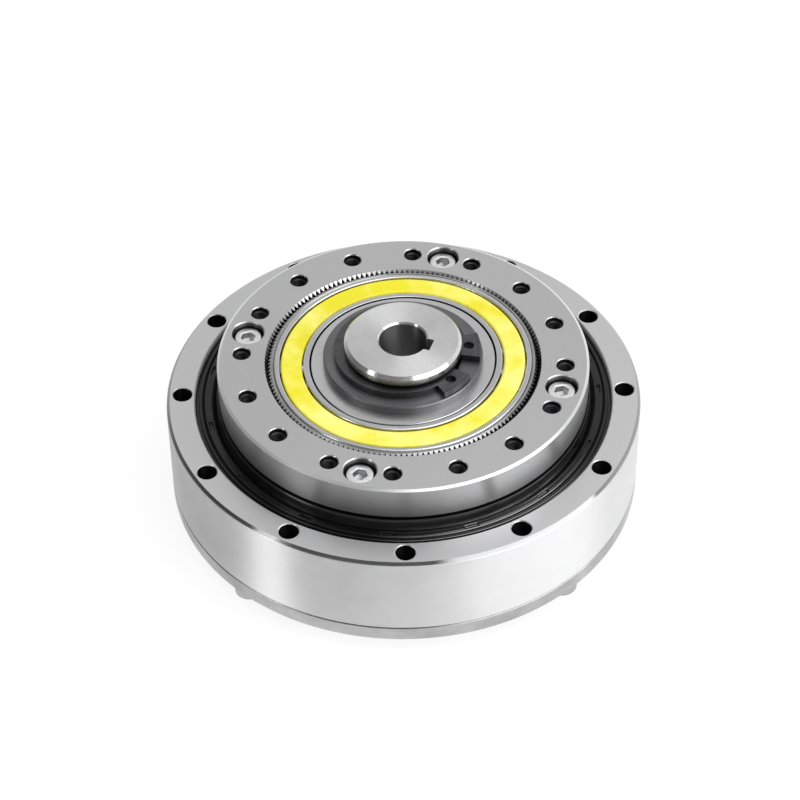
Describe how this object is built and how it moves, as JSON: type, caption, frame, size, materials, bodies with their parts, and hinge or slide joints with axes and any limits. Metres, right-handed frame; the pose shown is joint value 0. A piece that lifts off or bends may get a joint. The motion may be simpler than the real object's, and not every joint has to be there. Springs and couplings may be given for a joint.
{
  "type": "strain wave gear unit",
  "caption": "Hat type strain wave gear unit: flanged steel outer ring, raised toothed output ring on a crossed roller bearing, black oil seal and a keyed hub in an oval wave generator.",
  "frame": {"origin": "on the unit's axis, in the mounting face under the flexspline's flange", "axes": "+Z along the axis towards the output face and the hub, +X towards one of the outer bolt holes"},
  "size_m": [0.09, 0.09, 0.0365],
  "materials": {
    "ring_steel": "fine turned and ground bearing steel",
    "flexspline_steel": "satin turned alloy steel",
    "screw_steel": "plain steel cap screws",
    "case_steel": "pressed sheet steel",
    "black_rubber": "oiled nitrile rubber, slightly glossy",
    "spline_steel": "satin ground cast steel",
    "roller_steel": "polished bearing steel",
    "spacer_plastic": "natural polyamide",
    "hub_steel": "fine turned bright steel",
    "insert_bronze": "machined bronze",
    "plug_steel": "turned steel",
    "washer_steel": "dark hardened washer",
    "spring_steel": "blackened spring steel",
    "race_steel": "ground bearing steel",
    "yellow_plastic": "moulded yellow plastic, slightly translucent"
  },
  "bodies": {
    "housing": {"bearing_outer_ring": "ring_steel", "flexspline": "flexspline_steel", "flange_screws": "screw_steel", "seal_case": "case_steel", "oil_seal": "black_rubber", "bearing_outer_race": "race_steel"},
    "output": {"circular_spline": "spline_steel", "inner_ring_upper": "ring_steel", "inner_ring_lower": "ring_steel", "output_screws": "screw_steel"},
    "roller_set": {"rollers_a": "roller_steel", "rollers_b": "roller_steel", "roller_spacers": "spacer_plastic"},
    "wave_generator": {"input_hub": "hub_steel", "oldham_insert": "insert_bronze", "cam_plug": "plug_steel", "rub_washer": "washer_steel", "snap_ring": "spring_steel", "bearing_inner_race": "race_steel"},
    "ball_set": {"bearing_balls": "roller_steel", "ball_separator": "yellow_plastic"}
  },
  "joints": [
    {"name": "input_turn", "type": "hinge", "parent": "housing", "child": "wave_generator", "pos_m": [0, 0, 0.0243], "axis": [0, 0, 1], "continuous": true, "deforming": ["flexspline", "bearing_outer_race"]},
    {"name": "ball_turn", "type": "hinge", "parent": "housing", "child": "ball_set", "pos_m": [0, 0, 0.0243], "axis": [0, 0, 1], "continuous": true, "deforming": ["bearing_balls", "ball_separator"]},
    {"name": "output_turn", "type": "hinge", "parent": "housing", "child": "output", "pos_m": [0, 0, 0.0095], "axis": [0, 0, 1], "continuous": true},
    {"name": "roller_turn", "type": "hinge", "parent": "housing", "child": "roller_set", "pos_m": [0, 0, 0.0095], "axis": [0, 0, 1], "continuous": true}
  ],
  "couplings": [
    {"joint": "ball_turn", "follows": "input_turn", "ratio": 0.4409},
    {"joint": "output_turn", "follows": "input_turn", "ratio": 0.012346},
    {"joint": "roller_turn", "follows": "input_turn", "ratio": 0.005934}
  ]
}
